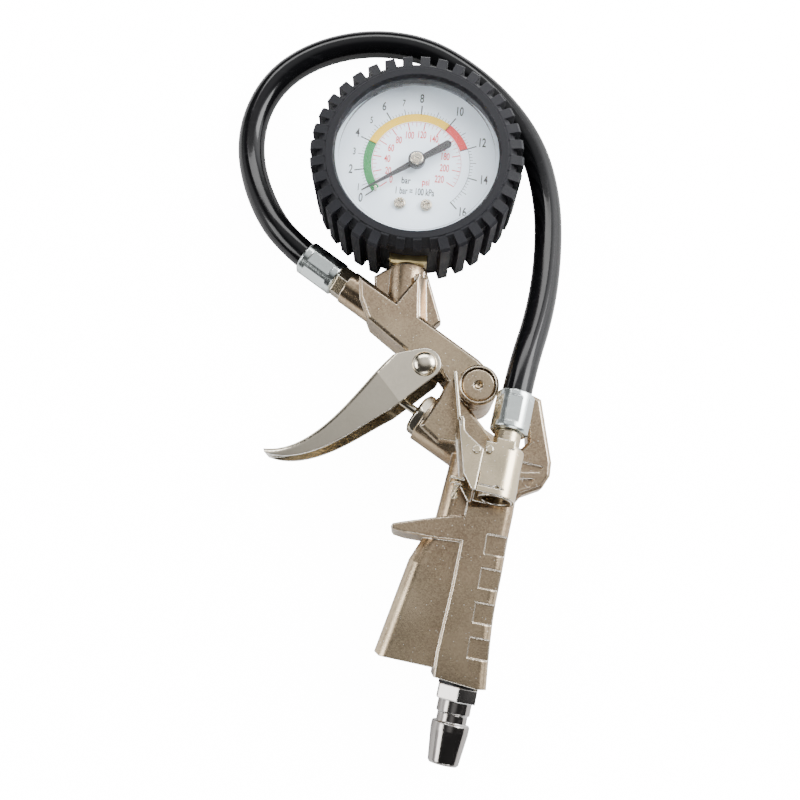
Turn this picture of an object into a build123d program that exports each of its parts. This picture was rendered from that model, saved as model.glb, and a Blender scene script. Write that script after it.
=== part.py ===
from build123d import *
import math
import os

# A tyre inflator gun lying on its side: +Z up, the gauge face up, the gauge at +Y, the inlet plug at -Y.
# Plan coordinates are drawn about the casting's parting plane.
# Every piece is moved to the origin at the end.

# ---- placing on the table ----
ORIGIN_X = 2.0
ORIGIN_Y = 0.665
PARTING_HEIGHT = 13.0

# ---- casting ----
CHEEK_HALF = 9.0
WEB_HALF = 3.0
GRIP_HALF = 13.0
SKIRT_HALF = 10.6
HOOK_HALF = 5.5
ARM_ANGLE = -37.0
ARM_START = (-19.3, 40.5)
NOZZLE_R = 6.0
VALVE_START = (8.25, -6.0)
VALVE_ANGLE = -36.0
CHAMBER_R = 8.4
CHAMBER_BORE_R = 5.6
BOSS = (25.2, 2.2)
BOSS_R = 6.65
BOSS_TOP = 13.6
BUTTON_BORE_R = 5.65
BUTTON_TOP = 13.2
PLUG_FOOT = (18.45, -91.0)
PLUG_ANGLE = -102.5
PASSAGE_R = 2.0

# ---- trigger ----
PIVOT = (8.0, 9.8)
RIVET_R = 2.5
LEVER_HALF = 10.5
LEVER_TIP_HALF = 6.0
LEVER_WALL = 1.2
HEAD_R = 4.1
HEAD_RISE = 2.3

# ---- gauge ----
GAUGE = (5.7, 81.3)
GAUGE_TURN = -5.0
BOOT_R = 33.0
BOOT_FACE_R = 30.6
BOOT_SHOULDER = 13.5
TOOTH_R = 36.0
TOOTH_HALF = 1.6
TOOTH_COUNT = 36
NUB_R = 33.8
NUB_HALF = 1.35
SMOOTH_HALF_ANGLE = 15.0
BOOT_INNER_R = 30.4
LIP_R = 28.0
GAUGE_BACK = -13.0
GAUGE_FRONT = 17.0
STEM_HALF = 6.45
STEM_FOOT = -35.7
DIAL_LEVEL = 6.6
SECTOR_PIVOT_Y = -14.0
SECTOR_R = 12.0
PINION_R = 2.0
PINION_TEETH = 10
POINTER_REST = 214.6

# ---- hose and chuck ----
HOSE_R = 4.75
FERRULE_R = 6.0
CHUCK_MOUTH = (28.56, -36.2, 23.0)
CHUCK_LEAN = 13.4
CHUCK_TILT = 9.0
CHUCK_R = 5.3
CHUCK_BORE_R = 4.1
SEAL_R = 4.4
SHEET = 0.8
THUMB_HALF = 3.2
CLIP_PIN_R = 0.9
CLIP_HEAD_R = 1.25

pieces = {}


def plan_plane(point, angle, height=0.0):
    turn = math.radians(angle)
    along = (math.cos(turn), math.sin(turn), 0)
    return Plane(origin=(point[0], point[1], height), x_dir=along, z_dir=(0, 0, 1))


def rod(plane, start, end, radius):
    """A round bar along the plane's X direction."""
    base = Plane(origin=plane.from_local_coords(Vector(start, 0, 0)), z_dir=plane.x_dir)
    return base * Cylinder(radius, end - start, align=(Align.CENTER, Align.CENTER, Align.MIN))


def post(x, y, low, high, radius):
    """A round bar standing along Z."""
    return Pos(x, y, low) * Cylinder(radius, high - low, align=(Align.CENTER, Align.CENTER, Align.MIN))


def ring(x, y, low, high, inner, outer):
    return post(x, y, low, high, outer) - post(x, y, low - 1, high + 1, inner)


def turned(plane, profile):
    """A lathe-turned piece about the plane's X direction, from (distance, radius) points."""
    outline = [(profile[0][0], 0)] + list(profile) + [(profile[-1][0], 0)]
    face = make_face(Polyline(*outline, close=True))
    return plane * revolve(face, Axis.X)


def slab(points, low, high):
    return Pos(0, 0, low) * extrude(make_face(Polyline(*points, close=True)), high - low)


def edged_slab(points, half, edge):
    """A plate cast about the parting plane with both outlines bevelled."""
    plate = slab(points, -half, half)
    rims = plate.faces().sort_by(Axis.Z)[0].edges() + plate.faces().sort_by(Axis.Z)[-1].edges()
    return chamfer(rims, edge)


def box_between(low, high):
    size = [b - a for a, b in zip(low, high)]
    centre = [(a + b) / 2 for a, b in zip(low, high)]
    return Pos(*centre) * Box(*size)


def coil(plane, start, end, radius, wire_r, turns):
    """A compression spring along the plane's X direction."""
    base = Plane(origin=plane.from_local_coords(Vector(start, 0, 0)), z_dir=plane.x_dir)
    path = base * Helix((end - start) / turns, end - start, radius)
    section = Plane(origin=path @ 0, z_dir=path % 0) * Circle(wire_r)
    return sweep(section, path=path, is_frenet=True)


def polar(radius, angle):
    turn = math.radians(angle)
    return (radius * math.cos(turn), radius * math.sin(turn))


arm = plan_plane(ARM_START, ARM_ANGLE)
valve = plan_plane(VALVE_START, VALVE_ANGLE)
plug = plan_plane(PLUG_FOOT, PLUG_ANGLE)
gauge = plan_plane(GAUGE, GAUGE_TURN)
stem = plan_plane(GAUGE, GAUGE_TURN - 90)


# ---- body casting: cheeks, parting web, chamber, boss, hook and grip in one die casting ----
cheek_outline = [
    (-13.7, 40.6), (-1.3, 31.5), (7.0, 41.9), (6.6, 26.4), (25.8, 11.7), (31.0, 6.0), (29.0, -2.0),
    (21.0, -2.6), (31.6, -17.0), (34.0, -33.0), (21.8, -33.0), (17.7, -16.2), (11.9, -15.4), (6.5, -10.2),
    (12.3, -1.6), (15.3, 4.6), (13.2, 7.6), (3.0, 13.9), (-10.6, 25.8), (-13.2, 33.0),
]
web_outline = [
    (-8.8, 42.4), (-3.9, 45.4), (9.0, 44.6), (13.8, 26.5), (4.0, 18.0), (-8.0, 30.0),
]
rear_outline = [
    (18.0, 0.5), (20.0, -1.7), (29.7, -13.5), (39.4, -17.1), (41.6, -15.2), (41.3, -1.2),
    (43.6, 0.6), (46.4, -0.9),
    (49.1, -21.8), (48.5, -26.1), (45.8, -30.1), (39.2, -32.4), (36.4, -35.5), (24.0, -36.0), (18.0, -20.0),
]
plate_front = [
    (22.9, -92.0), (10.0, -88.3), (11.2, -81.1), (16.1, -61.5), (19.1, -47.6), (11.5, -46.7),
    (1.3, -44.9), (-2.3, -43.7),
    (-2.9, -42.8), (-2.3, -41.9), (0.6, -41.4), (11.6, -40.0), (20.3, -39.4), (21.8, -33.5),
    (19.5, -14.0), (29.0, -15.5),
    (36.9, -26.0),
]
plate_back = [(36.9, -26.0), (36.6, -34.0), (33.8, -47.3), (31.7, -57.7), (29.3, -68.5), (27.6, -79.7),
              (26.2, -92.3)]
skirt_outline = [
    (16.9, -19.0), (11.5, -39.3), (2.7, -52.7), (-8.1, -80.9), (-6.6, -82.2), (14.0, -86.6),
    (25.0, -60.0), (30.0, -22.0),
]
plate_side = [
    (-95.0, -GRIP_HALF), (-37.0, -GRIP_HALF), (-17.0, -CHEEK_HALF), (0.0, -CHEEK_HALF),
    (0.0, CHEEK_HALF), (-17.0, CHEEK_HALF), (-37.0, GRIP_HALF), (-95.0, GRIP_HALF),
]

cheeks = edged_slab(cheek_outline, CHEEK_HALF, 0.9)
web = edged_slab(web_outline, WEB_HALF, 0.6)
rear = edged_slab(rear_outline, HOOK_HALF, 1.0)
star_side = Plane.XZ * make_face(Polyline((5.0, -8.4), (6.6, -8.4), (8.8, -3.0), (8.8, 3.0), (6.6, 8.4),
                                          (5.0, 8.4), close=True))
star_side = Pos(0, 41.2, 0) * extrude(star_side, 14.6)
plate_edge = [Polyline(*plate_front), Spline(*plate_back), Line(plate_back[-1], plate_front[0])]
plate = extrude(make_face(plate_edge), GRIP_HALF, both=True)
back_rims = plate.edges().filter_by(GeomType.BSPLINE)
plate = fillet(back_rims, 3.4)
front_rims = plate.edges().filter_by(GeomType.LINE).filter_by(
    lambda e: abs(abs(e.center().Z) - GRIP_HALF) < 0.01 and e.center().X < 21.0 and e.center().Y > -88.0)
plate = chamfer(front_rims, 0.4)
side_band = Plane.YZ * make_face(Polyline(*plate_side, close=True))
plate = plate & (Pos(-30, 0, 0) * extrude(side_band, 100))
skirt = slab(skirt_outline, -SKIRT_HALF, SKIRT_HALF)
skirt_left = skirt.edges().filter_by(GeomType.LINE).filter_by(
    lambda e: abs(abs(e.center().Z) - SKIRT_HALF) < 0.01 and e.center().X < 15 and e.center().Y > -81.0)
skirt = fillet(skirt_left, 5.0)

casting = cheeks + web + rear + plate + skirt + star_side
casting += rod(arm, 2.0, 30.0, NOZZLE_R)
casting += rod(stem, 35.7, 52.0, STEM_HALF)
casting += rod(valve, 0.0, 27.0, CHAMBER_R)
boss = post(*BOSS, -GRIP_HALF, BOSS_TOP, BOSS_R)
casting += chamfer(boss.faces().sort_by(Axis.Z)[-1].edges(), 0.6)

# recessed panels each side of the rib on the rear spur
for spur in ([(37.5, -21.0), (46.3, -23.4), (45.3, -25.0), (37.3, -25.0)],
             [(37.0, -27.0), (43.3, -27.2), (41.6, -29.6), (36.9, -31.0)]):
    for low, high in ((HOOK_HALF - 1.4, HOOK_HALF + 1), (-HOOK_HALF - 1, -HOOK_HALF + 1.4)):
        casting -= slab(spur, low, high)

# four grip grooves that wrap the back edge
GROOVE_PITCH = 10.6
groove_plane = plan_plane((31.3, -49.2), 79.5)
for index in range(4):
    middle = -index * GROOVE_PITCH
    for side in (-1, 1):
        pocket = Pos(middle, 0, side * GRIP_HALF) * Box(6.2, 9.6, 3.6)
        casting -= groove_plane * pocket
    casting -= groove_plane * Pos(middle, -4.3, 0) * Box(6.2, 2.8, 2 * GRIP_HALF)

# air passages and seats
casting -= rod(plug, -12.0, 3.0, 5.0)
casting -= rod(plug, -0.25, 6.0, 6.6)
casting -= rod(valve, -3.0, 25.0, CHAMBER_BORE_R)
passage = plan_plane((23.0, -66.0), 84.0)
casting -= rod(passage, -18.0, 48.0, PASSAGE_R)
casting -= rod(arm, -3.0, 9.0, 4.2)
casting -= rod(arm, 8.0, 52.0, PASSAGE_R)
casting -= rod(stem, 34.0, 45.8, 5.05)
casting -= rod(stem, 44.0, 62.0, PASSAGE_R)
casting -= post(*BOSS, 7.2, BOSS_TOP + 1, BUTTON_BORE_R)
casting -= post(*BOSS, -1.4, 8.0, 3.6)
casting -= post(*BOSS, -6.0, 1.5, 1.2)
casting -= post(*PIVOT, -GRIP_HALF, GRIP_HALF, RIVET_R + 0.02)
pieces["body_casting"] = casting

# ---- inlet plug and its seal ----
nose = turned(plug, [(-11.5, 4.95), (0.9, 4.95), (0.9, 5.9), (5.3, 5.9), (5.3, 5.35), (9.0, 5.35), (9.4, 4.8),
                     (12.0, 4.8), (12.0, 5.7), (12.4, 6.0), (14.6, 6.0), (24.0, 4.9), (24.6, 4.4)])
hexagon = plug * Pos(0.9, 0, 0) * Rot(0, 90, 0) * extrude(RegularPolygon(6.0, 6, major_radius=False), 4.4)
pieces["inlet_plug"] = (nose + hexagon) - rod(plug, -13.0, 26.0, 2.6)
pieces["inlet_plug_seal"] = rod(plug, -0.25, 0.85, 6.4) - rod(plug, -1.0, 2.0, 5.02)

# ---- valve: gland, rod, seat and spring in the chamber ----
gland_outline = RegularPolygon(6.8, 6, major_radius=False)
gland_hexagon = valve * Pos(-3.4, 0, 0) * Rot(0, 90, 0) * extrude(gland_outline, 3.3)
gland_round = turned(valve, [(-3.4, 5.6), (-2.4, 7.3), (-1.2, 7.75), (-0.1, 7.75)])
gland = (gland_hexagon & gland_round) + rod(valve, -0.2, 9.0, 5.55)
pieces["valve_gland"] = gland - rod(valve, -4.0, 10.0, 1.45) - rod(valve, 5.0, 10.0, 2.7)
pieces["valve_stem_oring"] = rod(valve, 5.4, 7.6, 2.62) - rod(valve, 5.0, 8.0, 1.45)
pieces["valve_seat_ring"] = rod(valve, 9.1, 12.0, 5.55) - rod(valve, 9.0, 13.0, 2.6)
pieces["valve_push_rod"] = turned(valve, [(-19.9, 0.7), (-19.4, 1.4), (13.0, 1.4)])
pieces["valve_poppet"] = turned(valve, [(13.05, 3.2), (13.6, 4.3), (15.6, 4.3), (15.6, 2.4), (17.2, 2.4)])
pieces["valve_poppet_face"] = rod(valve, 12.05, 13.0, 4.0) - rod(valve, 11.0, 14.0, 1.45)
pieces["valve_spring"] = coil(valve, 16.2, 24.3, 3.3, 0.4, 5)

# ---- trigger lever: pressed channel that straddles the arm ----
pivot_arc = [(PIVOT[0] + 5.3 * math.cos(math.radians(a)), PIVOT[1] + 5.3 * math.sin(math.radians(a)))
             for a in range(-38, 118, 13)]
lever_back = Spline((-2.5, 13.1), (-10.8, 4.4), (-19.0, -4.5), (-27.1, -11.5), (-35.2, -15.9), (-44.4, -17.0))
lever_tip = Line((-44.4, -17.0), (-44.0, -18.4))
lever_under = Spline((-44.0, -18.4), (-37.0, -19.7), (-28.0, -18.2), (-13.8, -11.4), (-2.4, -4.7))
lever_head = Polyline((-2.4, -4.7), *pivot_arc, (-2.5, 13.1))
lever_face = make_face([lever_back, lever_tip, lever_under, lever_head])
LEVER_HANDLE_AT = 14.0
LEVER_TIP_AT = 60.0
lever_run = Vector(-0.8, -0.6, 0)
lever_side = Plane(origin=(*PIVOT, 0), x_dir=lever_run, z_dir=lever_run.cross(Vector(0, 0, 1)))


def lever_band(inset):
    """The lever's width seen along its pin: full over the casting, narrowing to the tip."""
    wide = LEVER_HALF - inset
    narrow = LEVER_TIP_HALF - inset
    outline = [(-30.0, -wide), (LEVER_HANDLE_AT, -wide), (LEVER_TIP_AT, -narrow),
               (LEVER_TIP_AT, narrow), (LEVER_HANDLE_AT, wide), (-30.0, wide)]
    return lever_side * extrude(make_face(Polyline(*outline, close=True)), 50.0, both=True)


shell = extrude(lever_face, LEVER_HALF, both=True) & lever_band(0.0)
back_edges = shell.edges().filter_by(
    lambda e: (e.geom_type != GeomType.LINE and abs(e.center().Z) > LEVER_TIP_HALF
               and e.center().Y > e.center().X + 9.0))
shell = fillet(back_edges, 1.5)
inner_back = Spline((-0.8, 13.6), (-9.9, 3.6), (-18.1, -5.4), (-26.4, -12.6), (-34.9, -17.2), (-42.6, -18.5))
inner_face = make_face([inner_back, Polyline((-42.6, -18.5), (-42.6, -30.0), (20.0, -30.0), (20.0, 30.0),
                                             (-0.8, 30.0), (-0.8, 13.6))])
hollow = extrude(inner_face, LEVER_HALF, both=True) & lever_band(LEVER_WALL)
pieces["trigger_lever"] = shell - hollow - post(*PIVOT, -20, 20, RIVET_R + 0.05)

# ---- lever rivet: a plain shank with a domed head each side ----
rivet = post(*PIVOT, -LEVER_HALF - 0.2, LEVER_HALF + 0.2, RIVET_R)
for side in (-1, 1):
    below = Pos(*PIVOT, side * (LEVER_HALF + 0.1 - 5)) * Box(12, 12, 10)
    rivet += (Pos(*PIVOT, side * (LEVER_HALF + 0.1)) * scale(Sphere(1), (HEAD_R, HEAD_R, HEAD_RISE))) - below
pieces["lever_rivet"] = rivet

# ---- bleed button in the boss ----
button = post(*BOSS, 11.0, BUTTON_TOP, 5.5) + post(*BOSS, 1.6, 11.0, 1.4)
button = chamfer(button.faces().sort_by(Axis.Z)[-1].edges(), 0.6)
button -= Pos(*BOSS, BUTTON_TOP + 0.5) * Sphere(1.6)
pieces["bleed_button"] = button
pieces["bleed_guide"] = ring(*BOSS, 5.2, 7.9, 1.45, 3.55) + ring(*BOSS, 7.3, 8.3, 1.45, 5.6)
pieces["bleed_spring"] = coil(Plane(origin=(*BOSS, 0), x_dir=(0, 0, 1), z_dir=(0, 1, 0)), 8.6, 10.7, 3.4,
                              0.3, 2)
pieces["bleed_stem_oring"] = ring(*BOSS, 3.3, 4.9, 1.45, 3.5)

# ---- gauge: boot, case, lens, dial and screws ----
upright = Plane(origin=(0, 0, 0), x_dir=(0, 0, 1), z_dir=(0, 1, 0))
boot = turned(upright, [(GAUGE_BACK, BOOT_R - 0.9), (GAUGE_BACK + 0.9, BOOT_R), (BOOT_SHOULDER, BOOT_R),
                        (GAUGE_FRONT, BOOT_FACE_R)])
tooth_side = [(31.5, GAUGE_BACK + 0.6), (TOOTH_R - 1.2, GAUGE_BACK + 0.6), (TOOTH_R, GAUGE_BACK + 1.8),
              (TOOTH_R, 15.0), (35.2, 16.0), (31.4, GAUGE_FRONT - 0.4), (29.8, GAUGE_FRONT - 0.4),
              (31.5, 12.0)]
nub_side = [(31.5, 10.6), (NUB_R, 10.6), (NUB_R, 13.4), (31.4, GAUGE_FRONT - 0.2), (29.6, GAUGE_FRONT - 0.2)]


def boot_bar(outline, half, angle):
    """One moulded bar of the boot, drawn as (radius, height) and turned to its place round the rim."""
    bar = Plane.XZ * make_face(Polyline(*outline, close=True))
    return Rot(0, 0, angle) * extrude(bar, half, both=True)


for index in range(TOOTH_COUNT):
    turn_from_stem = index * 360 / TOOTH_COUNT
    if SMOOTH_HALF_ANGLE < turn_from_stem < 360 - SMOOTH_HALF_ANGLE:
        boot += boot_bar(tooth_side, TOOTH_HALF, turn_from_stem - 90)
    boot += boot_bar(nub_side, NUB_HALF, turn_from_stem - 90 + 180 / TOOTH_COUNT)
boot -= post(0, 0, GAUGE_BACK + 1.2, GAUGE_FRONT - 1.6, BOOT_INNER_R)
boot -= post(0, 0, GAUGE_BACK - 1, GAUGE_BACK + 2, 24.0)
boot -= turned(upright, [(GAUGE_FRONT - 2.0, LIP_R - 0.6), (GAUGE_FRONT + 0.4, LIP_R + 0.5)])
boot -= box_between((-STEM_HALF - 0.15, -40, -STEM_HALF - 0.15), (STEM_HALF + 0.15, -25, STEM_HALF + 0.15))
pieces["gauge_boot"] = gauge * boot

case = post(0, 0, GAUGE_BACK + 1.25, 11.9, BOOT_INNER_R - 0.05) - post(0, 0, GAUGE_BACK + 2.4, 13, 29.3)
case -= box_between((-5.1, -35, -6.5), (5.1, -25, 0.1))
pieces["gauge_case"] = gauge * case
lens = post(0, 0, 12.0, 15.2, BOOT_INNER_R - 0.1) - post(0, 0, 11, 13.4, 26.5)
lens = chamfer(lens.faces().sort_by(Axis.Z)[-1].edges(), 1.4)
pieces["gauge_lens"] = gauge * lens
dial = post(0, 0, DIAL_LEVEL, DIAL_LEVEL + 0.6, 29.2) - post(0, 0, 0, 10, 1.1)
stop_pin_place = polar(17.1, 219.5)
screw_places = [(-4.5, -15.2), (4.5, -15.2)]
for place in screw_places:
    dial -= post(*place, 0, 10, 1.0)
dial -= post(*stop_pin_place, 0, 10, 0.5)
pieces["gauge_dial"] = gauge * dial
screws = []
for place in screw_places:
    head = post(*place, DIAL_LEVEL + 0.65, DIAL_LEVEL + 1.8, 2.0)
    head = fillet(head.faces().sort_by(Axis.Z)[-1].edges(), 0.5)
    head -= Pos(*place, DIAL_LEVEL + 1.7) * Rot(0, 0, 30) * (Box(2.6, 0.55, 1.2) + Box(0.55, 2.6, 1.2))
    screws.append(head + post(*place, 4.95, DIAL_LEVEL + 0.65, 0.9))
pieces["gauge_dial_screws"] = gauge * Compound(children=screws)
pieces["gauge_stop_pin"] = gauge * post(*stop_pin_place, DIAL_LEVEL - 1.0, DIAL_LEVEL + 3.4, 0.45)

# ---- gauge socket: square block outside, bar inside, threaded shank into the neck ----
socket = box_between((-STEM_HALF, STEM_FOOT, -STEM_HALF), (STEM_HALF, -30.6, STEM_HALF))
socket = chamfer(socket.faces().sort_by(Axis.Y)[0].edges(), 0.9)
socket += box_between((-5.0, -31.0, -6.4), (5.0, -13.0, 0.0))
socket += rod(plan_plane((0, 0), -90), -STEM_FOOT, 45.5, 5.0)
socket -= rod(plan_plane((0, 0), -90), 18.0, 47.0, 1.5)
pieces["gauge_stem_block"] = gauge * socket

# ---- gauge movement ----
TUBE_R = 20.5
TUBE_HALF = 1.1
TUBE_FIRST = -20
TUBE_SWEEP = 273
tube_edge = [CenterArc((0, 0), TUBE_R + TUBE_HALF, TUBE_FIRST, TUBE_SWEEP),
             CenterArc((0, 0), TUBE_R - TUBE_HALF, TUBE_FIRST, TUBE_SWEEP)]
for end in (TUBE_FIRST, TUBE_FIRST + TUBE_SWEEP):
    tube_edge.append(Line(polar(TUBE_R - TUBE_HALF, end), polar(TUBE_R + TUBE_HALF, end)))
tube_band = extrude(make_face(tube_edge), 6.0)
tip_lug = box_between((17.2, -9.6, -6.5), (20.6, -5.6, 1.0))
pieces["bourdon_tube"] = gauge * ((Pos(0, 0, -6.5) * tube_band) + tip_lug)

sector_pivot = (0.0, SECTOR_PIVOT_Y)
plate_outline_small = [(-6.5, -20.5), (6.5, -20.5), (6.5, -11.0), (3.5, 4.5), (-3.5, 4.5), (-6.5, -11.0)]


def movement_plate(low, high):
    sheet = slab(plate_outline_small, low, high)
    sheet -= post(0, 0, low - 1, high + 1, 0.85)
    sheet -= post(*sector_pivot, low - 1, high + 1, 1.05)
    return sheet


pieces["movement_back_plate"] = gauge * movement_plate(0.1, 0.9)
pillars = [post(x, y, 0.95, 4.2, 0.8) for x, y in ((-5.4, -19.4), (5.4, -19.4), (0.0, 3.6))]
pieces["movement_pillars"] = gauge * Compound(children=pillars)
pieces["movement_front_plate"] = gauge * movement_plate(4.25, 4.9)


def gear_teeth(root, tip, first, count, pitch, root_width, tip_width, low, high):
    """Straight-flanked teeth about the local origin."""
    teeth = []
    for index in range(count):
        flank = [(root - 0.3, -root_width / 2), (tip, -tip_width / 2), (tip, tip_width / 2),
                 (root - 0.3, root_width / 2)]
        teeth.append(Rot(0, 0, first + index * pitch) * slab(flank, low, high))
    return teeth


pinion = post(0, 0, 1.2, 3.8, 1.45)
for tooth in gear_teeth(1.45, 2.3, 0.0, PINION_TEETH, 36.0, 0.6, 0.32, 1.2, 3.8):
    pinion += tooth
pinion += post(0, 0, -0.6, 8.6, 0.8)
pieces["pinion_arbor"] = gauge * pinion

fan = [(0, 0)] + [polar(11.5, a) for a in range(36, 101, 4)]
sector = slab(fan, 1.8, 2.8) + post(0, 0, 1.0, 4.15, 2.2)
for tooth in gear_teeth(11.5, 12.35, 36.0, 11, 6.0, 0.6, 0.3, 1.8, 2.8):
    sector += tooth
tail = slab([(0, -1.2), (7.0, -0.8), (7.8, 0), (7.0, 0.8), (0, 1.2)], 1.2, 1.9)
sector += Rot(0, 0, -18) * tail
sector += post(0, 0, 0.05, 5.2, 1.0)
pieces["sector_gear"] = gauge * Pos(*sector_pivot, 0) * sector

link_start = (sector_pivot[0] + polar(6.6, -18)[0], sector_pivot[1] + polar(6.6, -18)[1])
link_end = (18.9, -7.6)
link_run = math.dist(link_start, link_end)
link_turn = math.degrees(math.atan2(link_end[1] - link_start[1], link_end[0] - link_start[0]))
link = slab([(0, -0.7), (link_run, -0.7), (link_run, 0.7), (0, 0.7)], 0, 0.6)
link += post(0, 0, 0, 0.6, 1.3) + post(link_run, 0, -1.0, 0.6, 1.3)
pieces["tip_link"] = gauge * Pos(*link_start, 2.05) * Rot(0, 0, link_turn) * link

# ---- pointer: tapered blade, rounded tail and a capped hub ----
TAIL_R = 1.35
TAIL_AT = 12.2
blade = slab([(0, -1.1), (21.6, -0.14), (21.6, 0.14), (0, 1.1), (-2.5, 0.95), (-TAIL_AT, TAIL_R),
              (-TAIL_AT, -TAIL_R),
              (-2.5, -0.95)], 8.9, 9.5)
blade += post(-TAIL_AT, 0, 8.9, 9.5, TAIL_R) + post(0, 0, 8.65, 10.6, 2.9)
pieces["gauge_pointer"] = gauge * Rot(0, 0, POINTER_REST) * blade
hub_cap = post(0, 0, 10.65, 11.5, 2.3)
hub_cap = chamfer(hub_cap.faces().sort_by(Axis.Z)[-1].edges(), 0.3)
hub_cap -= Pos(0, 0, 11.4) * Box(1.3, 0.35, 0.6)
pieces["pointer_hub_cap"] = gauge * hub_cap

# ---- hose end at the nozzle: hex fitting and crimped ferrule ----
hex_bar = arm * Pos(-2.0, 0, 0) * Rot(0, 90, 0) * extrude(RegularPolygon(5.0, 6, major_radius=False), 3.95)
front_fitting = hex_bar + rod(arm, 1.9, 8.8, 4.15) + rod(arm, -7.0, -1.9, 2.6)
pieces["hose_front_fitting"] = front_fitting - rod(arm, -8.0, 10.0, 1.5)


def ferrule(plane, mouth, foot):
    """A crimped sleeve: six pressed flats in its middle, open at the mouth, holed at the foot."""
    toward = 1 if foot > mouth else -1
    low, high = min(mouth, foot), max(mouth, foot)
    sleeve = rod(plane, low, high, FERRULE_R)
    sleeve = chamfer(sleeve.edges().filter_by(GeomType.CIRCLE), 0.6)
    for index in range(6):
        crimp = Pos(0, 0, FERRULE_R + 0.65) * Box(8.6, 7.0, 2.0)
        flat = Pos((low + high) / 2, 0, 0) * Rot(index * 60, 0, 0) * crimp
        sleeve -= plane * flat
    sleeve -= rod(plane, min(mouth - toward, foot - toward * 1.4),
                  max(mouth - toward, foot - toward * 1.4), HOSE_R + 0.1)
    return sleeve - rod(plane, low - 1, high + 1, 2.65)


pieces["hose_front_ferrule"] = ferrule(arm, -16.3, -2.1)

# ---- chuck: body, cover, clip lever and valve seal, lying on the grip ----
lean = math.radians(CHUCK_LEAN)
tilt = math.radians(CHUCK_TILT)
chuck_axis = Vector(math.sin(lean) * math.cos(tilt), math.cos(lean) * math.cos(tilt), -math.sin(tilt))
chuck_side = Vector(-math.cos(lean), math.sin(lean), 0)
chuck_up = chuck_axis.cross(chuck_side)
chuck = Plane(origin=CHUCK_MOUTH, x_dir=chuck_axis, z_dir=chuck_up)
FERRULE_FOOT = 22.3
FERRULE_MOUTH = 35.5

body = rod(chuck, 0.0, 17.0, CHUCK_R) + rod(chuck, 16.9, FERRULE_FOOT - 0.1, 4.2)
body += rod(chuck, 20.0, 29.0, 2.6)
body -= rod(chuck, -1.0, 8.5, CHUCK_BORE_R)
body -= rod(chuck, 8.5, 11.5, SEAL_R + 0.03)
body -= rod(chuck, 11.0, 30.0, 1.5)
body -= chuck * box_between((1.4, 0, -1.6), (4.6, 8, 1.6))
pieces["chuck_body"] = body
pieces["chuck_seal"] = rod(chuck, 8.55, 11.45, SEAL_R) - rod(chuck, 8.0, 12.0, 1.3)
pieces["chuck_depressor"] = rod(chuck, 8.6, 15.0, 1.25)

COVER_IN = CHUCK_R + 0.06
cover_body = rod(chuck, 0.2, 16.2, COVER_IN + SHEET) - rod(chuck, -1.0, 18.0, COVER_IN)
cover_body -= chuck * box_between((-1, 0, -10), (18, 10, 10))
cover = cover_body
ear_outline = [(6.0, 6.2), (12.4, 6.2), (15.4, 10.7), (13.4, 11.6), (8.0, 10.4)]
for side in (-1, 1):
    low = side * COVER_IN
    high = side * (COVER_IN + SHEET)
    cover += chuck * box_between((0.2, -0.05, min(low, high)), (16.2, 6.3, max(low, high)))
    cover += chuck * slab(ear_outline, min(low, high), max(low, high))
cover += chuck * box_between((15.3, -2.4, COVER_IN), (18.0, 3.2, COVER_IN + SHEET))
cover -= chuck * box_between((2.1, -2.4, COVER_IN + SHEET - 0.3), (2.4, 6.4, COVER_IN + SHEET + 1))
cover -= chuck * box_between((2.3, -0.3, COVER_IN - 1), (2.9, 1.2, COVER_IN + SHEET + 1))
CLIP_PIVOT = (12.4, 8.8)
cover -= chuck * post(*CLIP_PIVOT, -12, 12, CLIP_PIN_R + 0.03)
pieces["chuck_cover"] = cover
pieces["chuck_cover_stud"] = chuck * post(13.5, 5.0, COVER_IN + SHEET + 0.02, COVER_IN + SHEET + 1.1, 1.15)

# clip lever: a bent channel, thumb plate above the pivot and jaw plate below
FLANGE_IN = COVER_IN + SHEET + 0.3
FLANGE_OUT = FLANGE_IN + SHEET
flange_outline = [(0.0, 6.7), (12.9, 6.7), (16.4, 12.2), (19.0, 15.2), (20.8, 16.0), (4.4, 11.2), (-0.1, 7.7)]
thumb_outline = [(4.0, 11.0), (20.9, 15.4), (21.8, 16.2), (37.4, 20.8), (37.6, 20.0), (22.1, 15.3),
                 (21.2, 14.5), (4.3, 10.1)]
clip = slab(thumb_outline, -FLANGE_OUT, FLANGE_OUT)
for side in (-1, 1):
    clip -= box_between((21.8, 10, min(side * THUMB_HALF, side * 12)),
                        (40, 25, max(side * THUMB_HALF, side * 12)))
for low, high in ((FLANGE_IN, FLANGE_OUT), (-FLANGE_OUT, -FLANGE_IN)):
    clip += slab(flange_outline, low, high)
clip += box_between((3.4, 10.2, -2.4), (4.2, 14.6, 2.4))
clip -= post(*CLIP_PIVOT, -12, 12, CLIP_PIN_R + 0.05)
pieces["chuck_lever"] = chuck * clip
jaw = turned(Plane.XY, [(-2.4, 0.5), (-1.6, 1.1), (-0.6, 1.2), (0.0, 0.8), (2.2, 0.8), (2.2, 1.9),
                        (2.9, 1.9)])
jaw_pin = jaw + rod(Plane.XY, 2.8, 3.35, 0.8)
pieces["chuck_jaw_pin"] = chuck * Pos(0.0, 12.2, 0) * jaw_pin
pin = post(*CLIP_PIVOT, -FLANGE_OUT - 0.1, FLANGE_OUT + 0.1, CLIP_PIN_R)
for low, high in ((FLANGE_OUT + 0.08, FLANGE_OUT + 0.6), (-FLANGE_OUT - 0.6, -FLANGE_OUT - 0.08)):
    pin += post(*CLIP_PIVOT, low, high, CLIP_HEAD_R)
pieces["chuck_lever_pin"] = chuck * pin
pin_plane = Plane(origin=(*CLIP_PIVOT, 0), x_dir=(0, 0, 1), z_dir=(0, 1, 0))
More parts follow.
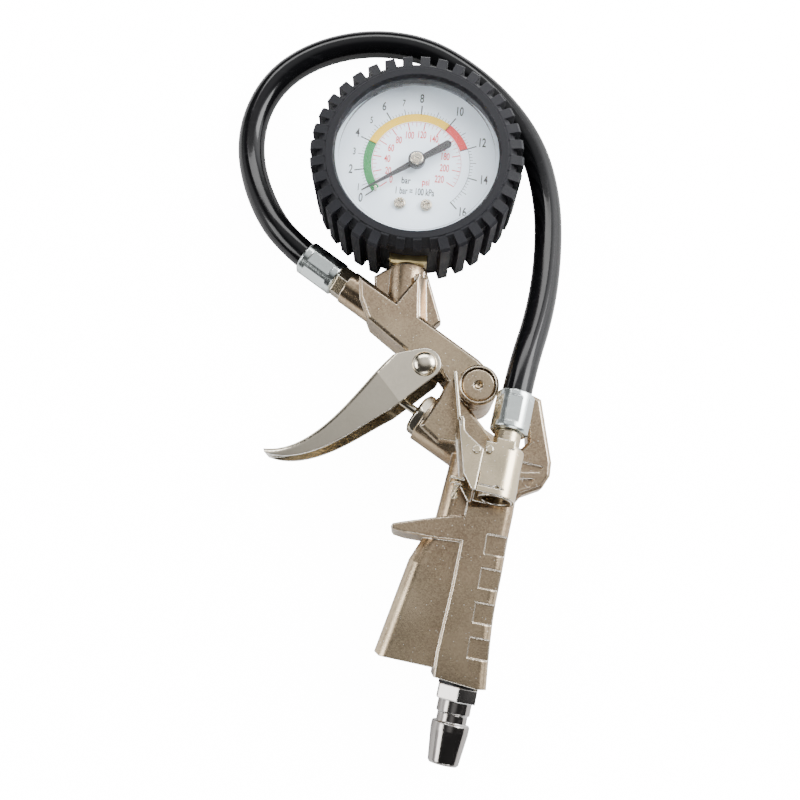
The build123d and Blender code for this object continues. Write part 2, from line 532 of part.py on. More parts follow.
pieces["chuck_lever_spring"] = chuck * coil(pin_plane, -4.0, 4.0, 1.5, 0.3, 5)
pieces["hose_rear_ferrule"] = ferrule(chuck, FERRULE_MOUTH, FERRULE_FOOT)

# ---- hose: leaves the nozzle, lies on the table round the gauge and climbs to the chuck ----
TABLE = HOSE_R + 0.1 - PARTING_HEIGHT
route = [
    (-24.93, 44.74, 0.0), (-38.5, 54.97, 0.0), (-48.6, 71.6, -3.6), (-54.2, 91.6, -7.6), (-52.5, 108.4, TABLE),
    (-44.4, 122.9, TABLE), (-30.2, 132.6, TABLE), (-11.4, 137.0, TABLE), (7.8, 134.6, TABLE), (23.2, 125.6, TABLE),
    (38.0, 111.4, -8.0), (48.4, 93.8, -7.2), (52.2, 72.6, -4.6), (50.9, 50.1, 0.4), (46.6, 28.2, 7.4),
    (38.63, 6.06, 16.12), (35.21, -8.27, 18.45),
]
radii = []
for before, corner, after in zip(route, route[1:], route[2:]):
    arriving = Vector(*corner) - Vector(*before)
    leaving = Vector(*after) - Vector(*corner)
    half_turn = math.radians(arriving.get_angle(leaving)) / 2
    radii.append(0.45 * min(arriving.length, leaving.length) / math.tan(half_turn))
hose_line = FilletPolyline(*route, radius=radii)
hose = sweep(Plane(origin=hose_line @ 0, z_dir=hose_line % 0) * Circle(HOSE_R), path=hose_line)
pieces["hose"] = hose
print("hose radii:", [round(r, 1) for r in radii])
print("hose length:", round(hose_line.length, 1), "volume", round(hose.volume), "against",
      round(math.pi * HOSE_R ** 2 * hose_line.length))

# ---- write every piece, moved to the origin on the table ----
os.makedirs("parts", exist_ok=True)
for name, piece in pieces.items():
    placed = Pos(-ORIGIN_X, -ORIGIN_Y, PARTING_HEIGHT) * piece
    export_step(placed, f"parts/{name}.step")
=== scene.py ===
import bpy, math
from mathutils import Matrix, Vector


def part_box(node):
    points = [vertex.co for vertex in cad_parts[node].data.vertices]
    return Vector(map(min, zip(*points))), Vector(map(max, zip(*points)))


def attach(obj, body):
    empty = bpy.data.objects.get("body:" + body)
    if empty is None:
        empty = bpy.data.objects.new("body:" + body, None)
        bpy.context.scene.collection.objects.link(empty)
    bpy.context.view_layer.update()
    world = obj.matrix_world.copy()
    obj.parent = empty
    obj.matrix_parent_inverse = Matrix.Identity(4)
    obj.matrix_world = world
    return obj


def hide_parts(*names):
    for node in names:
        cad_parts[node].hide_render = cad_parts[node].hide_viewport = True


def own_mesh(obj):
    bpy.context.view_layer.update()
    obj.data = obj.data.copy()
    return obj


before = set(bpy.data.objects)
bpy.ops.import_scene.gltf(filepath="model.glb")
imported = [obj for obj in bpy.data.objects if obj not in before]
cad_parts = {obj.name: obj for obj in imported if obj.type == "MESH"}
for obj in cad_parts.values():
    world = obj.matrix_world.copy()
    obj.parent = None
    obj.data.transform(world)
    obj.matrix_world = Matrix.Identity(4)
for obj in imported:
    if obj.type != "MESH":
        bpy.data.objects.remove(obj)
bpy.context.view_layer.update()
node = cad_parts
scene = bpy.context.scene
MM = 0.001

# ---- camera ----
# It looks almost straight down on the inflator, from a little below the inlet plug.
CAMERA_AIM = Vector((-2.0, -0.665, 13.0)) * MM
CAMERA_REACH = 0.330
CAMERA_TILT = math.radians(12.0)
SENSOR_WIDTH = 36.0
LENS_LENGTH = 44.55
camera = bpy.data.objects.new("camera", bpy.data.cameras.new("camera"))
camera.location = CAMERA_AIM + CAMERA_REACH * Vector((0, -math.sin(CAMERA_TILT), math.cos(CAMERA_TILT)))
camera.rotation_euler = (CAMERA_TILT, 0, 0)
camera.data.sensor_width = SENSOR_WIDTH
camera.data.lens = LENS_LENGTH
camera.data.clip_start = 0.01
scene.collection.objects.link(camera)
scene.camera = camera

# ---- air hose ----
# Extruded black rubber air hose, 9.5 mm across, with a smooth glossy skin scuffed dull in places.
# It is crimped at both ends, lies on the table round the gauge and climbs to the chuck.
HOSE_RADIUS = 4.75 * MM
PARTING_HEIGHT = 13.0
ROUTE_SHIFT = Vector((-2.0, -0.665, PARTING_HEIGHT))
ON_TABLE = 4.85 - PARTING_HEIGHT
hose_route = [
    (-24.93, 44.74, 0.0), (-38.5, 54.97, 0.0), (-48.6, 71.6, -3.6), (-54.2, 91.6, -7.6),
    (-52.5, 108.4, ON_TABLE), (-44.4, 122.9, ON_TABLE), (-30.2, 132.6, ON_TABLE), (-11.4, 137.0, ON_TABLE),
    (7.8, 134.6, ON_TABLE), (23.2, 125.6, ON_TABLE), (38.0, 111.4, -8.0), (48.4, 93.8, -7.2),
    (52.2, 72.6, -4.6), (50.9, 50.1, 0.4), (46.6, 28.2, 7.4), (38.63, 6.06, 16.12), (35.21, -8.27, 18.45),
]


def add_node(tree, kind, **settings):
    made = tree.nodes.new(kind)
    for key, value in settings.items():
        setattr(made, key, value)
    return made


def link(tree, out, into):
    tree.links.new(out, into)


def start_material(name, colour, rough, metal=0.0, **constants):
    """A material whose Principled shader is set to plain values, ready for detail."""
    made = bpy.data.materials.new(name)
    made.use_nodes = True
    shader = made.node_tree.nodes["Principled BSDF"]
    shader.inputs["Base Color"].default_value = (*colour, 1)
    shader.inputs["Roughness"].default_value = rough
    shader.inputs["Metallic"].default_value = metal
    for label, value in constants.items():
        shader.inputs[label.replace("_", " ")].default_value = value
    return made, made.node_tree, shader


def make_group(name, inputs, outputs):
    """An empty shader node group with number sockets."""
    group = bpy.data.node_groups.new(name, "ShaderNodeTree")
    for label, value in inputs:
        socket = group.interface.new_socket(name=label, in_out="INPUT", socket_type="NodeSocketFloat")
        socket.default_value = value
    for label in outputs:
        group.interface.new_socket(name=label, in_out="OUTPUT", socket_type="NodeSocketFloat")
    return group, add_node(group, "NodeGroupInput"), add_node(group, "NodeGroupOutput")


def use_group(tree, group, **values):
    made = add_node(tree, "ShaderNodeGroup", node_tree=group)
    for label, value in values.items():
        made.inputs[label.replace("_", " ")].default_value = value
    return made.outputs


def arithmetic(tree, operation, first, second, clamp=False):
    """A Math node whose inputs are sockets or plain numbers."""
    made = add_node(tree, "ShaderNodeMath", operation=operation, use_clamp=clamp)
    for index, value in enumerate((first, second)):
        if isinstance(value, (int, float)):
            made.inputs[index].default_value = value
        else:
            link(tree, value, made.inputs[index])
    return made.outputs[0]


def spread(tree, value, low, high, to_low, to_high):
    """Stretches a value from one range to another, held at the ends."""
    made = add_node(tree, "ShaderNodeMapRange")
    link(tree, value, made.inputs["Value"])
    for label, number in (("From Min", low), ("From Max", high), ("To Min", to_low), ("To Max", to_high)):
        made.inputs[label].default_value = number
    return made.outputs["Result"]


def noise(tree, place, scale, detail):
    made = add_node(tree, "ShaderNodeTexNoise")
    link(tree, place, made.inputs["Vector"])
    if isinstance(scale, (int, float)):
        made.inputs["Scale"].default_value = scale
    else:
        link(tree, scale, made.inputs["Scale"])
    made.inputs["Detail"].default_value = detail
    return made.outputs["Fac"]


def blend_colour(tree, factor, first, second):
    """A colour mix; each colour is a socket or three numbers."""
    made = add_node(tree, "ShaderNodeMix", data_type="RGBA")
    link(tree, factor, made.inputs["Factor"])
    for index, value in ((6, first), (7, second)):
        if isinstance(value, tuple):
            made.inputs[index].default_value = (*value, 1)
        else:
            link(tree, value, made.inputs[index])
    return made.outputs[2]


def bump(tree, shader, height, strength, depth, rounded=None):
    made = add_node(tree, "ShaderNodeBump")
    made.inputs["Strength"].default_value = strength
    made.inputs["Distance"].default_value = depth
    link(tree, height, made.inputs["Height"])
    if rounded:
        link(tree, rounded, made.inputs["Normal"])
    link(tree, made.outputs["Normal"], shader.inputs["Normal"])


# hand wear shared by every finish: long fine scratches, and slow greasy smudges
handling, h_in, h_out = make_group("handling_marks", [("Fineness", 900.0)], ["Scratch", "Smudge"])
spot = add_node(handling, "ShaderNodeTexCoord").outputs["Object"]
streak = add_node(handling, "ShaderNodeMapping")
link(handling, spot, streak.inputs["Vector"])
streak.inputs["Rotation"].default_value = (0.0, 0.0, math.radians(38.0))
streak.inputs["Scale"].default_value = (0.07, 1.0, 1.0)
scratch = noise(handling, streak.outputs["Vector"], h_in.outputs["Fineness"], 2.0)
link(handling, spread(handling, scratch, 0.60, 0.72, 0.0, 1.0), h_out.inputs["Scratch"])
link(handling, noise(handling, spot, 95.0, 3.0), h_out.inputs["Smudge"])

HOSE_BLACK = (0.0035, 0.0035, 0.004)
HOSE_SCUFF = (0.010, 0.010, 0.011)
rubber_gloss, tree, shader = start_material("rubber_gloss", HOSE_BLACK, 0.12, Specular_IOR_Level=0.24)
marks = use_group(tree, handling, Fineness=700.0)
link(tree, blend_colour(tree, arithmetic(tree, "MULTIPLY", marks["Scratch"], 0.5), HOSE_BLACK, HOSE_SCUFF),
     shader.inputs["Base Color"])
link(tree, spread(tree, marks["Smudge"], 0.3, 0.7, 0.09, 0.19), shader.inputs["Roughness"])
bump(tree, shader, marks["Smudge"], 0.15, 0.0004)

hose_curve = bpy.data.curves.new("air_hose", "CURVE")
hose_curve.dimensions = "3D"
hose_line = hose_curve.splines.new("NURBS")
hose_line.points.add(len(hose_route) - 1)
for point, place in zip(hose_line.points, hose_route):
    point.co = (*((Vector(place) + ROUTE_SHIFT) * MM), 1)
hose_line.order_u = 3
hose_line.use_endpoint_u = True
hose_line.resolution_u = 16
hose_curve.bevel_depth = HOSE_RADIUS
hose_curve.bevel_resolution = 8
hose_curve.materials.append(rubber_gloss)
hose = bpy.data.objects.new("air_hose", hose_curve)
scene.collection.objects.link(hose)
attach(hose, "inflator")
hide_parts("hose")

# ---- table top and studio ----
# A plain white table that glows for the camera alone. Soft panels and lamps stand round it, so flat
# faces mirror the ceiling and rounded edges mirror a brighter window.
TABLE_HALF = 1.6
TABLE_GLOW = 14.0
TABLE_DROP = -0.2 * MM
table_white, tree, shader = start_material("table_white", (0.90, 0.90, 0.90), 0.7)
seen = add_node(tree, "ShaderNodeLightPath")
link(tree, arithmetic(tree, "MULTIPLY", seen.outputs["Is Camera Ray"], TABLE_GLOW),
     shader.inputs["Emission Strength"])
shader.inputs["Emission Color"].default_value = (1, 1, 1, 1)
table_mesh = bpy.data.meshes.new("table_top")
corners = [(-TABLE_HALF, -TABLE_HALF), (TABLE_HALF, -TABLE_HALF), (TABLE_HALF, TABLE_HALF),
           (-TABLE_HALF, TABLE_HALF)]
table_mesh.from_pydata([(x, y, TABLE_DROP) for x, y in corners], [], [(0, 1, 2, 3)])
table_mesh.materials.append(table_white)
table = bpy.data.objects.new("table_top", table_mesh)
scene.collection.objects.link(table)

# each soft panel of the room: direction, cosine at its edge, cosine at its core, glow
ROOM_GLOW = 0.05
room_panels = [
    ((0.06, 0.45, 0.891), 0.79, 0.99, 1.25),
    ((0.82, 0.42, 0.39), 0.78, 0.95, 4.5),
    ((-0.93, 0.20, 0.31), 0.90, 0.97, 1.6),
    ((-0.15, -0.95, 0.27), 0.90, 0.97, 0.9),
]
world = bpy.data.worlds.new("studio")
scene.world = world
world.use_nodes = True
room = world.node_tree
toward = add_node(room, "ShaderNodeTexCoord").outputs["Generated"]
room_light = ROOM_GLOW
for direction, edge_cosine, core_cosine, glow in room_panels:
    facing = add_node(room, "ShaderNodeVectorMath", operation="DOT_PRODUCT")
    link(room, toward, facing.inputs[0])
    facing.inputs[1].default_value = Vector(direction).normalized()
    panel = spread(room, facing.outputs["Value"], edge_cosine, core_cosine, 0.0, glow)
    room_light = arithmetic(room, "ADD", panel, room_light)
room.nodes["Background"].inputs["Color"].default_value = (0.97, 0.98, 1.0, 1)
link(room, room_light, room.nodes["Background"].inputs["Strength"])


def soft_lamp(name, place, size, watts):
    lamp = bpy.data.lights.new(name, "AREA")
    lamp.shape = "RECTANGLE"
    lamp.size, lamp.size_y = size
    lamp.energy = watts
    holder = bpy.data.objects.new(name, lamp)
    holder.location = place
    holder.rotation_euler = (-Vector(place)).to_track_quat("-Z", "Y").to_euler()
    scene.collection.objects.link(holder)


soft_lamp("window_right", (1.05, 0.45, 0.80), (0.8, 0.7), 26.0)
soft_lamp("fill_left", (-1.10, 0.0, 0.75), (0.8, 0.5), 11.0)
soft_lamp("back_top", (-0.1, 1.15, 0.85), (1.2, 0.4), 15.0)
soft_lamp("front_low", (0.2, -1.2, 0.70), (1.0, 0.3), 6.0)

# ---- body casting ----
# One zinc-alloy die casting: arm, valve chamber, boss, hook and grip. It is nickel plated to a
# champagne tone and browned in places, with painted glints and a painted highlight along its edges.
grain, g_in, g_out = make_group("cast_grain", [("Fineness", 2600.0), ("Speck Share", 0.03)],
                                ["Height", "Tone", "Tarnish", "Glitter", "Speck"])
spot = add_node(grain, "ShaderNodeTexCoord").outputs["Object"]
link(grain, noise(grain, spot, g_in.outputs["Fineness"], 3.0), g_out.inputs["Height"])
link(grain, noise(grain, spot, 70.0, 4.0), g_out.inputs["Tone"])
link(grain, noise(grain, spot, 24.0, 1.0), g_out.inputs["Tarnish"])
cells = add_node(grain, "ShaderNodeTexVoronoi")
link(grain, spot, cells.inputs["Vector"])
link(grain, g_in.outputs["Fineness"], cells.inputs["Scale"])
chance = add_node(grain, "ShaderNodeSeparateColor")
link(grain, cells.outputs["Color"], chance.inputs["Color"])
link(grain, chance.outputs["Green"], g_out.inputs["Glitter"])
# Speck: a few cells chosen at random, turned bright in the colour as painted glints
chosen = arithmetic(grain, "LESS_THAN", chance.outputs["Red"], g_in.outputs["Speck Share"])
inside = arithmetic(grain, "LESS_THAN", cells.outputs["Distance"], 0.33)
link(grain, arithmetic(grain, "MULTIPLY", chosen, inside), g_out.inputs["Speck"])

# Bevel-node mask on every edge, used to paint a highlight into the colour, and the rounded normal
edges, e_in, e_out = make_group("painted_edge_highlight", [("Radius", 0.0006), ("Gain", 4.0)], ["Edge"])
edges.interface.new_socket(name="Rounded", in_out="OUTPUT", socket_type="NodeSocketVector")
rounder = add_node(edges, "ShaderNodeBevel", samples=6)
link(edges, e_in.outputs["Radius"], rounder.inputs["Radius"])
link(edges, rounder.outputs["Normal"], e_out.inputs["Rounded"])
surface = add_node(edges, "ShaderNodeNewGeometry")
agree = add_node(edges, "ShaderNodeVectorMath", operation="DOT_PRODUCT")
link(edges, rounder.outputs["Normal"], agree.inputs[0])
link(edges, surface.outputs["Normal"], agree.inputs[1])
bent = arithmetic(edges, "SUBTRACT", 1.0, agree.outputs["Value"])
link(edges, arithmetic(edges, "MULTIPLY", bent, e_in.outputs["Gain"], clamp=True), e_out.inputs["Edge"])

TARNISH_BROWN = (0.24, 0.15, 0.095)


def plated_metal(name, dull, bright, rough, edge_rough, fineness, glitter, speck_share, relief, radius=0.0006,
                 tarnish=0.15):
    """Plated metal: grained on its faces with painted glints, scratched by hands, with a painted highlight
    along its edges.
    """
    made, tree, shader = start_material(name, dull, rough, 1.0)
    texture = use_group(tree, grain, Fineness=fineness, Speck_Share=speck_share)
    marks = use_group(tree, handling, Fineness=1200.0)
    edge_highlight_and_rounding = use_group(tree, edges, Radius=radius, Gain=4.0)
    rim = edge_highlight_and_rounding["Edge"]
    light = tuple(min(1.0, channel * 1.30) for channel in dull)
    dark = tuple(channel * 0.72 for channel in dull)
    face = blend_colour(tree, spread(tree, texture["Tone"], 0.3, 0.7, 0.5 - glitter, 0.5 + glitter), dark,
                        light)
    face = blend_colour(tree, spread(tree, texture["Tarnish"], 0.42, 0.66, 0.0, tarnish), face, TARNISH_BROWN)
    # painted glints: grains lightened at random, and the specks turned almost white
    painted_sparkle = arithmetic(tree, "MULTIPLY", texture["Glitter"], glitter)
    face = blend_colour(tree, painted_sparkle, face, light)
    face = blend_colour(tree, arithmetic(tree, "MULTIPLY", texture["Speck"], 0.8), face, bright)
    # painted highlight: every edge blended toward the pale colour
    link(tree, blend_colour(tree, rim, face, bright), shader.inputs["Base Color"])
    smudged = spread(tree, marks["Smudge"], 0.3, 0.7, rough * 0.8, rough * 1.25)
    marked = arithmetic(tree, "ADD", smudged, arithmetic(tree, "MULTIPLY", marks["Scratch"], 0.04))
    drop = arithmetic(tree, "MULTIPLY", rim, rough - edge_rough)
    link(tree, arithmetic(tree, "SUBTRACT", marked, drop, clamp=True), shader.inputs["Roughness"])
    uneven = arithmetic(tree, "ADD", texture["Height"], arithmetic(tree, "MULTIPLY", texture["Glitter"], 0.5))
    bump(tree, shader, uneven, relief, 0.0002, edge_highlight_and_rounding["Rounded"])
    return made


def dress(material, *names):
    for name in names:
        node[name].data.materials.clear()
        node[name].data.materials.append(material)


nickel_cast = plated_metal("nickel_cast", (0.41, 0.325, 0.215), (0.97, 0.93, 0.85), 0.25, 0.12, 2100.0,
                           0.55, 0.025, 0.09, tarnish=0.65)
dress(nickel_cast, "body_casting")

# ---- bleed button ----
# A turned button on a stem that lets air out when it is pressed. It sits in the boss on a small
# spring and slides through a brass guide with a rubber ring.
dress(nickel_cast, "bleed_button")

# ---- trigger lever and its rivet ----
# A pressed steel channel, chrome plated and polished, that straddles the arm. It swings on a headed
# rivet through both cheeks.
polished_chrome = plated_metal("polished_chrome", (0.66, 0.60, 0.48), (0.97, 0.96, 0.94), 0.19, 0.07,
                               900.0, 0.10, 0.0, 0.02, radius=0.0004)
dress(polished_chrome, "trigger_lever", "lever_rivet")

# ---- valve gland, push rod and the valve inside ----
# A bright hexagon gland screws into the chamber and guides the steel push rod. The rod lifts a brass
# poppet with a rubber face off its seat, and a wire spring shuts it. Both wire springs are here.
dress(polished_chrome, "valve_gland", "valve_push_rod")
spring_wire = plated_metal("spring_wire", (0.38, 0.38, 0.38), (0.8, 0.8, 0.8), 0.28, 0.18, 1500.0, 0.15,
                           0.0, 0.05)
dress(spring_wire, "valve_spring", "bleed_spring", "chuck_lever_spring")


def springy(name):
    """A wire spring as its own object: a copy of the coil, attached to the inflator, with the imported coil
    hidden.
    """
    coil = bpy.data.objects.new("sprung_" + name, node[name].data.copy())
    coil.matrix_world = node[name].matrix_world.copy()
    scene.collection.objects.link(coil)
    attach(coil, "inflator")
    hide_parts(name)
    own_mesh(coil)


springy("valve_spring")
springy("bleed_spring")

# ---- inlet plug ----
# A turned quick-coupler plug with a hexagon collar and a ball groove, hardened, plated dark and
# polished. It screws into the foot of the grip on a flat seal.
dark_nickel = plated_metal("dark_nickel", (0.30, 0.29, 0.28), (0.85, 0.86, 0.85), 0.14, 0.07, 900.0, 0.12,
                           0.0, 0.02)
dress(dark_nickel, "inlet_plug")

# ---- hose fittings and ferrules ----
# Thin bright-zinc sleeves crimped over both hose ends in six flats, and the plated fitting that
# screws into the nozzle.
bright_zinc = plated_metal("bright_zinc", (0.55, 0.60, 0.59), (0.95, 0.98, 0.98), 0.20, 0.10, 1500.0,
                           0.15, 0.0, 0.05)
dress(bright_zinc, "hose_front_ferrule", "hose_rear_ferrule")

# ---- tyre chuck ----
# A turned body with a folded plate cover and a spring clip lever whose jaw pin grips the valve
# thread. All of it is nickel plated, and a rubber washer seals on the valve.
chuck_plate = plated_metal("chuck_plate", (0.50, 0.42, 0.29), (0.95, 0.93, 0.88), 0.24, 0.10, 2600.0,
                           0.30, 0.02, 0.05)
dress(chuck_plate, "chuck_body", "chuck_cover", "chuck_cover_stud", "chuck_lever", "chuck_jaw_pin",
      "chuck_lever_pin", "hose_front_fitting")

# ---- gauge boot, seals and washers ----
# A moulded black rubber boot with deep bars round it takes the knocks. The seals are the same matt
# black rubber. Boot and seals are lightened by random dust and by a painted highlight along their edges.
BOOT_DARK = (0.0030, 0.0033, 0.0058)
BOOT_DUST_AND_HIGHLIGHT = (0.020, 0.021, 0.026)
boot_rubber, tree, shader = start_material("boot_rubber", BOOT_DARK, 0.6, Specular_IOR_Level=0.30)
texture = use_group(tree, grain, Fineness=2200.0, Speck_Share=0.0)
# painted highlight along every edge, added to the random dust, greys the rubber
rim = use_group(tree, edges, Radius=0.0008, Gain=2.0)["Edge"]
dusty = spread(tree, texture["Tone"], 0.45, 0.75, 0.0, 0.35)
dust_and_edge_highlight = arithmetic(tree, "ADD", dusty, arithmetic(tree, "MULTIPLY", rim, 0.6), clamp=True)
link(tree, blend_colour(tree, dust_and_edge_highlight, BOOT_DARK, BOOT_DUST_AND_HIGHLIGHT), shader.inputs["Base Color"])
link(tree, spread(tree, texture["Tone"], 0.3, 0.7, 0.5, 0.7), shader.inputs["Roughness"])
bump(tree, shader, texture["Height"], 0.25, 0.0002)
dress(boot_rubber, "gauge_boot", "inlet_plug_seal", "valve_stem_oring", "valve_poppet_face",
      "bleed_stem_oring", "chuck_seal")

# ---- gauge case and pointer ----
# The case is a drawn steel cup, black enamelled. The pointer is a blackened blade with a rounded tail
# and a pressed hub.
ENAMEL = (0.012, 0.012, 0.013)
ENAMEL_RUBBED = (0.022, 0.022, 0.024)
case_black, tree, shader = start_material("case_black", ENAMEL, 0.35)
marks = use_group(tree, handling, Fineness=900.0)
link(tree, blend_colour(tree, marks["Smudge"], ENAMEL, ENAMEL_RUBBED), shader.inputs["Base Color"])
link(tree, spread(tree, marks["Smudge"], 0.3, 0.7, 0.28, 0.45), shader.inputs["Roughness"])
bump(tree, shader, marks["Smudge"], 0.1, 0.0003)
dress(case_black, "gauge_case", "gauge_pointer")

# ---- gauge socket, movement and brass fittings ----
# The square socket is yellow-plated brass. Inside, the Bourdon tube pulls a link that swings the
# toothed sector and spins the pinion on the pointer's arbor.
plated_brass = plated_metal("plated_brass", (0.34, 0.28, 0.13), (0.86, 0.80, 0.55), 0.30, 0.18, 2000.0,
                            0.35, 0.02, 0.15)
dress(plated_brass, "gauge_stem_block", "valve_seat_ring", "valve_poppet", "bleed_guide", "bourdon_tube",
      "movement_back_plate", "movement_front_plate", "movement_pillars", "pinion_arbor", "sector_gear",
      "tip_link", "chuck_depressor")
hub_nickel = plated_metal("hub_nickel", (0.62, 0.56, 0.44), (0.95, 0.92, 0.84), 0.25, 0.15, 1500.0, 0.2,
                          0.0, 0.05)
dress(hub_nickel, "pointer_hub_cap", "gauge_dial_screws", "gauge_stop_pin")

# ---- gauge lens ----
# A clear moulded window with a bevelled rim, held under the lip of the boot. Light passes it on the
# way to the dial.
clear_lens, tree, shader = start_material("clear_lens", (1, 1, 1), 0.03, IOR=1.45, Transmission_Weight=1.0,
                                          Specular_IOR_Level=0.14)
shadow_ray = add_node(tree, "ShaderNodeLightPath").outputs["Is Shadow Ray"]
see_through = add_node(tree, "ShaderNodeBsdfTransparent")
either = add_node(tree, "ShaderNodeMixShader")
link(tree, shadow_ray, either.inputs[0])
link(tree, shader.outputs["BSDF"], either.inputs[1])
link(tree, see_through.outputs["BSDF"], either.inputs[2])
link(tree, either.outputs[0], tree.nodes["Material Output"].inputs["Surface"])
marks = use_group(tree, handling, Fineness=600.0)
link(tree, spread(tree, marks["Smudge"], 0.4, 0.8, 0.01, 0.06), shader.inputs["Roughness"])
dress(clear_lens, "gauge_lens")

# ---- dial ----
# A thin aluminium plate, enamelled bluish white and screen printed: a black bar scale with green,
# yellow and red zones, and a red psi scale inside it.
DIAL_WHITE = (0.68, 0.79, 0.90)
DIAL_PALE = (0.76, 0.85, 0.93)
dial_white, tree, shader = start_material("dial_white", DIAL_WHITE, 0.45)
marks = use_group(tree, handling, Fineness=500.0)
link(tree, blend_colour(tree, marks["Smudge"], DIAL_WHITE, DIAL_PALE),
     shader.inputs["Base Color"])
link(tree, spread(tree, marks["Smudge"], 0.3, 0.7, 0.4, 0.55), shader.inputs["Roughness"])
bump(tree, shader, marks["Smudge"], 0.05, 0.0002)
dress(dial_white, "gauge_dial")

GAUGE_TURN = math.radians(-5.0)
INK_LIFT = 0.03 * MM
dial_low, dial_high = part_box("gauge_dial")
dial_x = (dial_low[0] + dial_high[0]) / 2
dial_y = (dial_low[1] + dial_high[1]) / 2
ink_level = dial_high[2] + INK_LIFT


def on_dial(x, y):
    """A point of the artwork, in millimetres from the pointer's arbor, as it lies on the dial."""
    cos_turn, sin_turn = math.cos(GAUGE_TURN), math.sin(GAUGE_TURN)
    return (dial_x + (x * cos_turn - y * sin_turn) * MM, dial_y + (x * sin_turn + y * cos_turn) * MM,
            ink_level)


def around(radius, degrees):
    return radius * math.cos(math.radians(degrees)), radius * math.sin(math.radians(degrees))


def printed_arc(inner, outer, first, last):
    """A printed ring sector between two angles, as flat patches."""
    steps = max(2, int(abs(last - first) / 2))
    points = []
    for step in range(steps + 1):
        degrees = first + (last - first) * step / steps
        points += [around(inner, degrees), around(outer, degrees)]
    return points, [(2 * s, 2 * s + 2, 2 * s + 3, 2 * s + 1) for s in range(steps)]


def printed_tick(inner, outer, degrees, width):
    """One straight mark that points at the arbor."""
    turn = math.radians(degrees)
    across = (-math.sin(turn) * width / 2, math.cos(turn) * width / 2)
    near, far = around(inner, degrees), around(outer, degrees)
    points = [(near[0] - across[0], near[1] - across[1]), (far[0] - across[0], far[1] - across[1]),
              (far[0] + across[0], far[1] + across[1]), (near[0] + across[0], near[1] + across[1])]
    return points, [(0, 1, 2, 3)]


TYPE_WEIGHT = 0.030
DIGIT_SHARE = 0.57


def printed_text(words, x, y, height, narrow=0.62):
    """A word or number set in plain upright type, centred on a point."""
    type_curve = bpy.data.curves.new("type", "FONT")
    type_curve.body = words
    type_curve.align_x = "CENTER"
    type_curve.size = height / DIGIT_SHARE
    type_curve.offset = height * TYPE_WEIGHT
    holder = bpy.data.objects.new("type", type_curve)
    flat = bpy.data.meshes.new_from_object(holder)
    points = [(x + v.co.x * narrow, y + v.co.y - height / 2) for v in flat.vertices]
    faces = [tuple(f.vertices) for f in flat.polygons]
    bpy.data.objects.remove(holder)
    bpy.data.meshes.remove(flat)
    return points, faces


def ink_piece(name, parts, ink):
    """All the marks of one colour, as one thin printed layer."""
    points, faces = [], []
    for part_points, part_faces in parts:
        faces += [tuple(index + len(points) for index in face) for face in part_faces]
        points += [on_dial(x, y) for x, y in part_points]
    mesh = bpy.data.meshes.new(name)
    mesh.from_pydata(points, [], faces)
    mesh.materials.append(ink)
    layer = bpy.data.objects.new(name, mesh)
    scene.collection.objects.link(layer)
    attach(layer, "inflator")


def screen_ink(name, colour):
    """Screen ink: a little thin and uneven, with a satin skin."""
    made, tree, shader = start_material(name, colour, 0.42)
    marks = use_group(tree, handling, Fineness=800.0)
    thin = tuple(min(1.0, channel * 1.15 + 0.002) for channel in colour)
    link(tree, blend_colour(tree, marks["Smudge"], colour, thin), shader.inputs["Base Color"])
    link(tree, spread(tree, marks["Smudge"], 0.3, 0.7, 0.36, 0.52), shader.inputs["Roughness"])
    return made


BAND_IN = 15.5
BAND_OUT = 18.35
DEGREES_PER_BAR = 17.0
TWO_BAR_AT = 191.6
ZERO_BAR_AT = 219.0
TOP_BAR = 16


def bar_angle(bar):
    """The first bar is squeezed up against the stop."""
    if bar < 1:
        return ZERO_BAR_AT + (TWO_BAR_AT + DEGREES_PER_BAR - ZERO_BAR_AT) * bar
    return TWO_BAR_AT - DEGREES_PER_BAR * (bar - 2)


ink_green = screen_ink("ink_green", (0.0, 0.15, 0.03))
ink_yellow = screen_ink("ink_yellow", (0.66, 0.42, 0.0))
ink_red = screen_ink("ink_red", (0.50, 0.010, 0.012))
ink_black = screen_ink("ink_black", (0.012, 0.014, 0.018))
zones = (("dial_green_zone", 0, 4, ink_green), ("dial_yellow_zone", 4, 10, ink_yellow),
         ("dial_red_zone", 10, 12, ink_red))
for name, first_bar, last_bar, ink in zones:
    ink_piece(name, [printed_arc(BAND_IN, BAND_OUT, bar_angle(first_bar), bar_angle(last_bar))], ink)

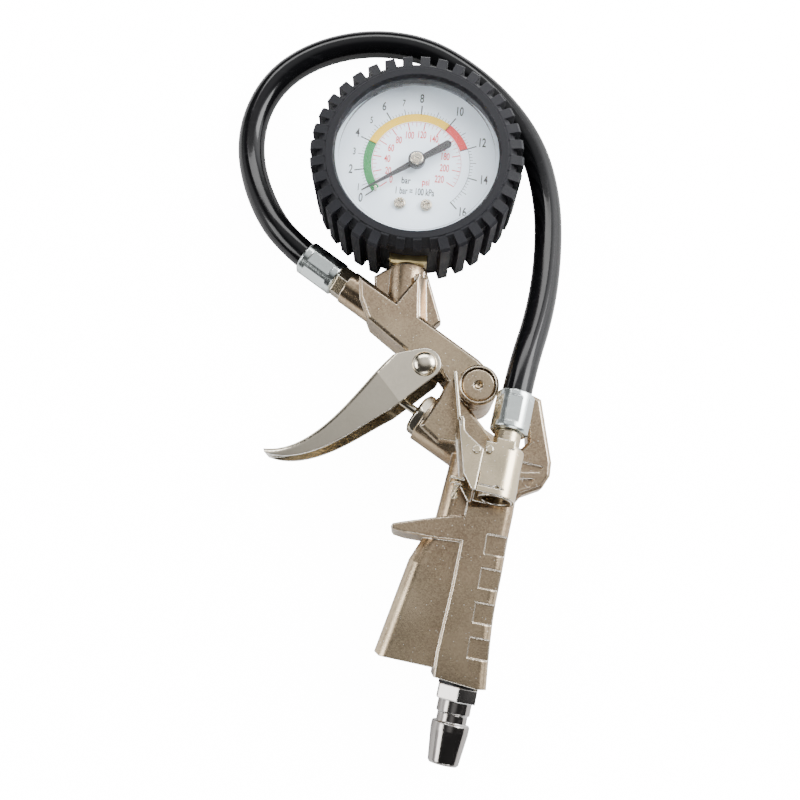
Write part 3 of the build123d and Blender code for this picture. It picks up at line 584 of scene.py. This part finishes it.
BAR_NUMERALS = ((0, 23.0, 218.7, 2.6), (1, 21.8, 209.0, 2.0), (2, 22.7, 190.8, 2.6), (3, 21.8, 173.7, 2.0),
                (4, 23.2, 156.1, 2.6), (5, 22.2, 139.3, 2.0), (6, 23.8, 122.8, 2.6), (7, 22.7, 105.9, 2.0),
                (8, 24.0, 90.2, 2.6), (10, 24.2, 56.8, 2.6), (12, 23.7, 23.0, 2.6), (14, 23.7, 349.3, 2.6),
                (16, 23.7, 315.4, 2.6))
BROAD_LINE = 0.42
THIN_LINE = 0.22
HAIR_LINE = 0.17
black_marks = [printed_arc(BAND_OUT - 0.15, BAND_OUT, bar_angle(12), bar_angle(TOP_BAR))]
for fifth in range(5, 5 * TOP_BAR + 1):
    bar = fifth / 5
    if fifth % 10 == 0:
        foot = BAND_IN if bar in (4, 10, 12) else BAND_OUT - 0.2
        black_marks.append(printed_tick(foot, 21.5, bar_angle(bar), BROAD_LINE))
    elif fifth % 5 == 0:
        black_marks.append(printed_tick(BAND_OUT, 20.4, bar_angle(bar), THIN_LINE))
    else:
        black_marks.append(printed_tick(BAND_OUT, 19.3, bar_angle(bar), HAIR_LINE))
black_marks.append(printed_tick(BAND_OUT - 0.3, 21.2, ZERO_BAR_AT, BROAD_LINE))
for bar, radius, degrees, height in BAR_NUMERALS:
    black_marks.append(printed_text(str(bar), *around(radius, degrees), height))
black_marks.append(printed_text("bar", -3.1, -6.8, 1.9, 0.72))
black_marks.append(printed_text("1 bar = 100 kPa", 0.1, -10.6, 2.0, 0.60))
ink_piece("dial_black_print", black_marks, ink_black)

PSI_ZERO_AT = 219.0
DEGREES_PER_PSI = 1.131
TOP_PSI = 220
PSI_LINE = 0.34
PSI_RIM = BAND_IN - 0.22
PSI_NUMERALS = ((0, 10.7, 219.9), (20, 10.2, 201.4), (40, 10.2, 176.2), (60, 10.35, 153.0), (80, 10.4, 130.9),
                (100, 10.5, 108.4), (120, 10.5, 85.2), (140, 10.6, 61.1), (160, 10.3, 39.0),
                (180, 10.0, 18.1), (200, 9.7, 353.0), (220, 9.8, 326.6))
red_marks = [printed_arc(BAND_IN - 0.35, PSI_RIM, PSI_ZERO_AT, PSI_ZERO_AT - TOP_PSI * DEGREES_PER_PSI)]
for psi in range(0, TOP_PSI + 1, 5):
    degrees = PSI_ZERO_AT - DEGREES_PER_PSI * psi
    if psi % 20 == 0:
        red_marks.append(printed_tick(12.3, PSI_RIM, degrees, PSI_LINE))
    else:
        red_marks.append(printed_tick(13.6 if psi % 10 == 0 else 14.1, PSI_RIM, degrees, HAIR_LINE))
for psi, radius, degrees in PSI_NUMERALS:
    red_marks.append(printed_text(str(psi), *around(radius, degrees), 2.1, 0.58))
red_marks.append(printed_text("psi", 3.7, -6.9, 1.9, 0.72))
ink_piece("dial_red_print", red_marks, ink_red)
